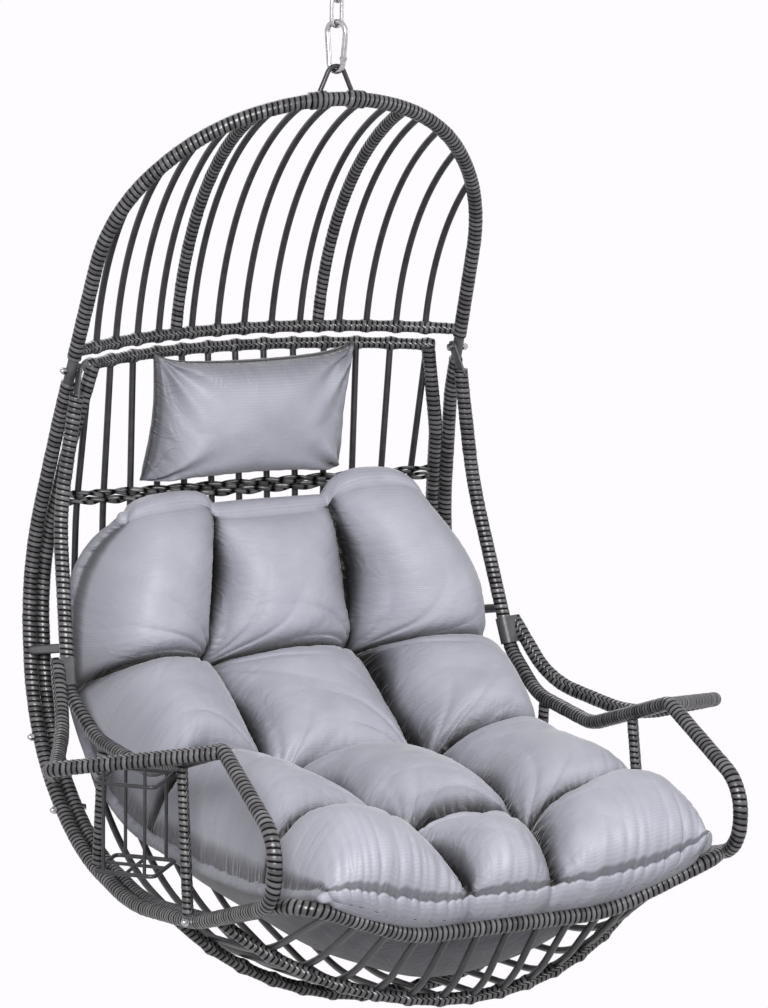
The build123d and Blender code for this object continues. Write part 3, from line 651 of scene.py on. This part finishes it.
def wrinkles(x, s, v, start, to_seam, to_row):
    # Gathers at the seams, the rows' creases and the front edge, and the filling's unevenness
    high, reach = SEAM_GATHER
    total = high * np.exp(-to_seam / reach) * gathers(s + 0.3 * x, start)
    high, reach = ROW_GATHER
    total = total + high * ease(0.4, 1.2, v) * math.exp(-to_row / reach) * gathers(x + 0.3 * s, start + 2)
    high, reach = FRONT_GATHER
    total = total + high * math.exp(-(row_run[LAST] - s) / reach) * gathers(x * 1.1 + 0.12 * s, 3.1)
    total = total + 3.4 * np.sin(x / 43 + start) * np.sin(s / 57 + 2 * start)
    winding = np.sin(x / 23 + 0.03 * s + 1.8 * np.sin(s / 37) + start)
    return total + 1.6 * winding * np.sin(s / 67 + x / 59 + start)


def crease_shade(x, s, half, seam, start):
    # Painted shade: dark lines of uneven width in the creases with a broader darkening round them, and a
    # thin dark line at the side and front seams
    wander = 1 + 0.4 * np.sin(s / 31 + start) + 0.3 * np.sin(x / 37 + 2 * start)
    to_fold = min(abs(s - row_run[i]) for i in CREASES)
    to_crease = np.minimum(np.abs(np.abs(x) - seam), to_fold) / wander
    shade = 0.02 + 0.98 * ease(3.5, 18.0, to_crease)
    shade = shade * (0.68 + 0.32 * ease(8.0, 42.0, to_crease))
    shade = shade * (0.25 + 0.75 * ease(0.0, 2.5, half - np.abs(x)))
    return shade * (0.3 + 0.7 * ease(0.0, 3.0, row_run[LAST] - s))


def tuft_dent(x, s, tuft, tuft_fold):
    # The change of height round one tuft, a pit with pinched folds that run out from it, and the painted
    # shade in the pit
    dx, ds = x - tuft[0], s - tuft[1]
    r = np.hypot(dx, ds)
    count, start = tuft_fold
    turn = np.cos(count * np.arctan2(ds, dx) + start + 0.02 * r)
    fold = 1 - 1.7 * np.exp(-2.4 * np.sqrt(turn ** 2 + 0.01))
    pinch = PINCH_HIGH * np.exp(-r / PINCH_REACH) * (1 - np.exp(-(r / PINCH_START) ** 2)) * fold
    pit = TUFT_DEEP * np.exp(-(r / TUFT_WIDE) ** 2)
    return pinch - pit, 1 - 0.7 * np.exp(-(r / TUFT_SHADE) ** 2)


def section(x, height, half, rise, sag, s):
    # One closed slice: the puffed face, a rounded side, the sagging underside and the other side
    turn = np.linspace(-math.pi / 2, math.pi / 2, EDGE_POINTS + 2)[1:-1]
    bulge = half + EDGE_BULGE * np.cos(turn)
    right_mid, right_half = (height[-1] + rise) / 2, (height[-1] - rise) / 2
    left_mid, left_half = (height[0] + rise) / 2, (height[0] - rise) / 2
    under = np.linspace(half, -half, UNDER_POINTS)
    out = (under / half) ** 2
    under_height = rise * out - sag * (1 - out) + 1.5 * np.sin(under / 33 + s / 47)
    return np.concatenate([
        np.stack([x, height], 1),
        np.stack([bulge, right_mid - right_half * np.sin(turn)], 1),
        np.stack([under, under_height], 1),
        np.stack([-bulge, left_mid + left_half * np.sin(turn)], 1),
    ])


TOP_OUT, FRONT_OUT = np.array([0, -0.15, 0.99]), np.array([0, -0.86, -0.5])
TOP_LOBE, FRONT_LOBE, LOBE_SINK = 34.0, 13.0, 0.35
LOBE_TOP_MIDDLE, LOBE_TOP_RIGHT, LOBE_TOP_LEFT = 0.05, 1.25, 0.75
LOBE_FRONT_MIDDLE, LOBE_FRONT_SIDES = 0.8, 1.25
LEAN_RIGHT, LEAN_LEFT = np.array([31.0, -54.0, 0.0]), np.array([-20.0, -18.0, 0.0])


def end_lobes(flat, v, half, seam):
    # The top and front ends follow the puffs in a row of round lobes
    x = flat[:, 0]
    middle, a = columns(x, half, seam)
    swell = full(a, *PUFF_LOBE)
    top = swell * np.where(middle, LOBE_TOP_MIDDLE, np.where(x > 0, LOBE_TOP_RIGHT, LOBE_TOP_LEFT))
    front = swell * np.where(middle, LOBE_FRONT_MIDDLE, LOBE_FRONT_SIDES)
    top_reach = TOP_LOBE * max(0.0, 1 - v / 1.3) ** 2 * (top - LOBE_SINK)
    front_reach = FRONT_LOBE * max(0.0, v - 7.0) * (front - LOBE_SINK)
    return TOP_OUT * top_reach[:, None] + FRONT_OUT * front_reach[:, None]


def lean_out(flat, v, half):
    # The sides of the back stand forward of the rim, the right one further than the left
    upper = ease(-0.4, 1.2, v) * (1 - ease(2.6, 5.4, v))
    share = flat[:, 0] / half
    right = ease(0.25, 1.0, share) * upper
    left = ease(0.25, 1.0, -share) * upper
    return right[:, None] * LEAN_RIGHT + left[:, None] * LEAN_LEFT


def cushion_ring(v, s):
    value, crown, dip, row, b = station_at(v)
    half, seam = value[HALF], value[SEAM]
    x = half * np.sin(np.linspace(-1, 1, ACROSS) * ACROSS_EVENNESS) / math.sin(ACROSS_EVENNESS)
    middle, a = columns(x, half, seam)
    edge = np.where(x < 0, EDGE_LEFT, EDGE_RIGHT)
    floor = np.where(middle, dip, dip + (edge - dip) * ease(seam, half, np.abs(x)))
    crown = crown + np.where(middle, ROW_RISE_MIDDLE[row], ROW_RISE_SIDES[row]) * (1 - b * b)
    height = floor + np.maximum(crown - floor, 0) * full(a, *PUFF_ACROSS)
    start = phase[np.where(x < -seam, 0, np.where(x > seam, 2, 1)), row]
    to_seam = (1 - np.abs(a)) * np.where(middle, seam, (half - seam) / 2)
    to_row = (1 - abs(b)) * (row_run[2 * row + 2] - row_run[2 * row]) / 2
    height = height + wrinkles(x, s, v, start, to_seam, to_row)
    shade = crease_shade(x, s, half, seam, start)
    for tuft, tuft_fold in zip(tufts, tuft_folds):
        dent, dark = tuft_dent(x, s, tuft, tuft_fold)
        height = height + dent
        shade = shade * dark
    height = height + value[RISE] * (x / half) ** 2
    flat = section(x, height, half, value[RISE], value[SAG], s)
    origin = at((0, value[BACK_Y], value[BACK_DROP] + SETTLE))
    up = unit(at((0, value[FACE_Y], value[FACE_DROP] + SETTLE)) - origin)
    ring = origin + flat[:, :1] * RIGHT + flat[:, 1:] * up
    ring = ring + end_lobes(flat, v, half, seam) + lean_out(flat, v, half)
    # Painted shade: the face takes the crease shade, the sides and underside an even darkening
    tone = np.concatenate([shade, np.full(len(flat) - ACROSS, UNDER_PAINTED_SHADE)])
    return ring, np.stack([flat[:, 0], np.full(len(flat), s)], 1), tone


END_RINGS, END_MAP_STEP, END_WIDE = 10, 1.6, 0.97
TOP_REACH, FRONT_REACH = 16.0, 12.0


def heights_at(points, x):
    # The y and z of a line of points at each x
    order = np.argsort(points[:, 0])
    return np.stack([np.interp(x, points[order, 0], points[order, k]) for k in (1, 2)], 1)


def close_end(ring, place, outward, reach):
    # A rounded end: the ring shrinks to its middle line while it moves out
    centre = ring.mean(0)
    spine = centre + (ring - centre) * np.array([END_WIDE, 0.0, 0.0])
    under = ring[ACROSS + EDGE_POINTS:ACROSS + EDGE_POINTS + UNDER_POINTS]
    spine[:, 1:] = (heights_at(ring[:ACROSS], ring[:, 0]) + heights_at(under, ring[:, 0])) / 2
    rings, maps = [], []
    for i in range(1, END_RINGS + 1):
        angle = i / END_RINGS * math.pi / 2
        rings.append(spine + (ring - spine) * math.cos(angle) + outward * reach * math.sin(angle))
        maps.append(place + np.array([0, i * END_MAP_STEP]))
    return rings, maps


def make_cushion():
    rings, maps, tones = zip(*(cushion_ring(v, s) for v, s in zip(steps, profile)))
    top_rings, top_maps = close_end(rings[0], maps[0], TOP_OUT, TOP_REACH)
    front_rings, front_maps = close_end(rings[-1], maps[-1], FRONT_OUT, FRONT_REACH)
    all_rings = [*top_rings[::-1], *rings, *front_rings]
    all_maps = [*top_maps[::-1], *maps, *front_maps]
    end_tones = [np.full(len(rings[0]), END_TONE)] * END_RINGS
    faces = grid_faces(len(all_rings), len(rings[0]), True)
    return make_mesh("cushion", np.concatenate(all_rings), faces, np.concatenate(all_maps),
                     np.concatenate([*end_tones, *tones, *end_tones]))


cushion = make_cushion()
finish_piece(cushion, cloth, "grey_cloth", "seat_cushion")

# Head pillow: two crowned faces sewn together, with drawn-in sides and pointed ears
PILLOW_PLACE, PILLOW_TILT = (-4.0, 280.6, 552.0), 11.0
PILLOW_HALF_WIDE, PILLOW_HALF_TALL = 165.0, 95.0
WAIST_WIDE, WAIST_TALL, EAR, TAPER = 11.0, 9.0, 14.0, 6.0
FRONT_DEEP, BACK_DEEP, SEAM_HALF, OVERHANG = 74.0, 42.0, 2.0, 30.0
PILLOW_PUFF, PILLOW_FULL = (2.4, 1.0), 0.42
PILLOW_COLS, PILLOW_ROWS = 150, 100


def pillow_border():
    # The seam's points in order round the pillow
    cols, rows = PILLOW_COLS, PILLOW_ROWS
    border = [i * rows for i in range(cols)] + [(cols - 1) * rows + j for j in range(1, rows)]
    return border + [i * rows + rows - 1 for i in range(cols - 2, -1, -1)] + list(range(rows - 2, 0, -1))


def make_pillow():
    tilt = math.radians(PILLOW_TILT)
    up = np.array([0, -math.sin(tilt), math.cos(tilt)])
    forward = np.array([0, -math.cos(tilt), -math.sin(tilt)])
    a, b = np.meshgrid(np.linspace(-1, 1, PILLOW_COLS), np.linspace(-1, 1, PILLOW_ROWS), indexing="ij")
    swell = (full(a, *PILLOW_PUFF) * full(b, *PILLOW_PUFF)) ** PILLOW_FULL
    above = np.clip(b, 0, 1)
    x = a * (PILLOW_HALF_WIDE - WAIST_WIDE * (1 - b ** 2)) - TAPER * (1 - b) / 2
    z = b * (PILLOW_HALF_TALL - WAIST_TALL * (1 - a ** 2)) + EAR * above ** 5 * np.abs(a) ** 7
    to_side, to_end = (1 - np.abs(a)) * PILLOW_HALF_WIDE, (1 - np.abs(b)) * PILLOW_HALF_TALL
    to_corner, spoke = np.hypot(to_side, to_end), np.arctan2(to_end, to_side)
    edge = np.minimum(1 - np.abs(a), 1 - np.abs(b))
    # Small pleats at the seam, folds that run out of the corners, and the filling's unevenness
    ripple = 1.6 * np.exp(-edge * 9) * np.sin(x / 4.1 + z / 5.3)
    ripple += 14.0 * np.exp(-to_corner / 60) * np.sin(9 * spoke) * (1 - np.exp(-(to_corner / 14) ** 2))
    ripple += 4.5 * np.sin(x / 37 + 1.2) * np.sin(z / 29)
    ripple += 3.5 * np.sin(x / 21 - z / 34) * np.exp(-((np.abs(a) - 0.75) / 0.22) ** 2)
    ripple *= np.clip(edge * 14, 0, 1)
    to_edge = np.minimum(to_side, to_end)
    # Painted shade: a dark line at the seam and a broader darkening towards the edges
    tone = (0.25 + 0.75 * ease(0.0, 5.0, to_edge)) * (0.62 + 0.38 * ease(3.0, 40.0, to_edge))
    across = at(PILLOW_PLACE) + x[..., None] * RIGHT
    front_z = z + OVERHANG * swell * above ** 3
    front = across + front_z[..., None] * up + (SEAM_HALF + FRONT_DEEP * swell + ripple)[..., None] * forward
    rear_face = across + z[..., None] * up - (SEAM_HALF + BACK_DEEP * swell + ripple)[..., None] * forward
    first = PILLOW_COLS * PILLOW_ROWS
    faces = grid_faces(PILLOW_COLS, PILLOW_ROWS, False)
    faces += [[i + first for i in q[::-1]] for q in faces]
    border = pillow_border()
    for here, after in zip(border, border[1:] + border[:1]):
        faces.append([here, first + here, first + after, after])
    verts = np.concatenate([front.reshape(-1, 3), rear_face.reshape(-1, 3)])
    uv = np.tile(np.stack([x, z], -1).reshape(-1, 2), (2, 1))
    return make_mesh("pillow", verts, faces, uv, np.tile(tone.ravel(), 2))


pillow = make_pillow()
finish_piece(pillow, cloth, "grey_cloth", "head_pillow")

# Plain pieces keep their own solids
finishes = {
    paint: ["hood_ribs", "basket_ribs", "cup_cage", "hanger_loop", "side_brace_left", "side_brace_right"],
    dull_paint: ["hood_spigot_left", "hood_spigot_right", "arm_collar_left", "arm_collar_right"],
    zinc: ["hood_bolts", "hood_cap_nuts", "frame_bolts", "frame_cap_nuts", "top_link", "lower_link",
           "snap_hook", "snap_gate", "gate_pin", "gate_spring"],
}
for material, names in finishes.items():
    for name in names:
        dress(name, material)

# Camera at the photo's view, in metres and degrees
CAMERA_PLACE = (-2.61010, -5.41171, 0.39740)
AZIMUTH, ELEVATION, ROLL = -26.5, 11.0, 0.9105
FOCAL_PIXELS, PHOTO_TALL, SENSOR = 4182.03, 1008, 36.0


def make_camera():
    azimuth, elevation, roll = (math.radians(d) for d in (AZIMUTH, ELEVATION, ROLL))
    back = Vector((math.sin(azimuth) * math.cos(elevation), -math.cos(azimuth) * math.cos(elevation),
                   math.sin(elevation)))
    level = Vector((math.cos(azimuth), math.sin(azimuth), 0))
    upright = back.cross(level)
    right = level * math.cos(roll) + upright * math.sin(roll)
    up = upright * math.cos(roll) - level * math.sin(roll)
    camera = bpy.data.objects.new("camera", bpy.data.cameras.new("camera"))
    bpy.context.scene.collection.objects.link(camera)
    axes = Matrix((right, up, back)).transposed()
    camera.matrix_world = Matrix.Translation(CAMERA_PLACE) @ axes.to_4x4()
    camera.data.sensor_width = SENSOR
    camera.data.lens = FOCAL_PIXELS / PHOTO_TALL * SENSOR
    camera.data.clip_end = 60
    return camera


bpy.context.scene.camera = make_camera()
bpy.context.scene.view_settings.view_transform = "Standard"

# Pale floor under the hanging chair: white to the camera, and clear when seen from below
FLOOR_BELOW, FLOOR_HALF = 300.0, 2600.0
WHITE = (1.0, 0.975, 1.0, 1)
FLOOR_TONE = (0.14, 0.135, 0.14, 1)
SKY_TONE, SKY_LEVEL = (1.0, 1.0, 1.02, 1), 0.34


def sees_white(tree):
    # Camera, glossy and transmission rays all meet the same white
    rays = tree.nodes.new("ShaderNodeLightPath").outputs
    either = calculate(tree, "MAXIMUM", rays["Is Camera Ray"], rays["Is Glossy Ray"])
    return calculate(tree, "MAXIMUM", either, rays["Is Transmission Ray"])


def mix_shaders(tree, factor, first, second):
    n = tree.nodes.new("ShaderNodeMixShader")
    for source, socket in zip((factor, first, second), n.inputs):
        tree.links.new(source, socket)
    return n.outputs[0]


def floor_material():
    mat = bpy.data.materials.new("pale floor")
    mat.use_nodes = True
    tree = mat.node_tree
    tree.nodes.clear()
    pale = node(tree, "ShaderNodeBsdfDiffuse", Color=FLOOR_TONE)
    white = node(tree, "ShaderNodeEmission", Color=WHITE, Strength=1.0)
    clear = node(tree, "ShaderNodeBsdfTransparent")
    above = mix_shaders(tree, sees_white(tree), pale.outputs[0], white.outputs[0])
    from_below = node(tree, "ShaderNodeNewGeometry").outputs["Backfacing"]
    out = node(tree, "ShaderNodeOutputMaterial")
    tree.links.new(mix_shaders(tree, from_below, above, clear.outputs[0]), out.inputs[0])
    return mat


floor_z = cad_low[2] * MM_PER_M - FLOOR_BELOW
floor_corners = [(x * FLOOR_HALF, y * FLOOR_HALF, floor_z) for x, y in ((-1, -1), (1, -1), (1, 1), (-1, 1))]
floor = make_mesh("floor", floor_corners, [[0, 1, 2, 3]])
floor.data.materials.append(floor_material())


# Soft studio light on a white background, in metres and watts
def make_world():
    world = bpy.data.worlds.new("studio")
    world.use_nodes = True
    tree = world.node_tree
    tree.nodes.clear()
    seen = node(tree, "ShaderNodeBackground", Color=WHITE, Strength=1.0)
    lit = node(tree, "ShaderNodeBackground", Color=SKY_TONE, Strength=SKY_LEVEL)
    out = node(tree, "ShaderNodeOutputWorld")
    tree.links.new(mix_shaders(tree, sees_white(tree), lit.outputs[0], seen.outputs[0]), out.inputs[0])
    return world


def area_light(name, place, aim, size, power):
    light = bpy.data.lights.new(name, "AREA")
    light.shape = "SQUARE"
    light.size = size
    light.energy = power
    obj = bpy.data.objects.new(name, light)
    bpy.context.scene.collection.objects.link(obj)
    obj.location = place
    obj.rotation_euler = (Vector(aim) - Vector(place)).to_track_quat("-Z", "Y").to_euler()


bpy.context.scene.world = make_world()
area_light("key", (-1.9, -3.5, 0.75), (0, 0, -0.9), 1.3, 194)
area_light("fill", (3.2, -2.4, 0.3), (0, 0, -0.9), 1.6, 30)
area_light("rim", (0.5, 2.8, 1.4), (0, 0, -0.7), 2.0, 34)
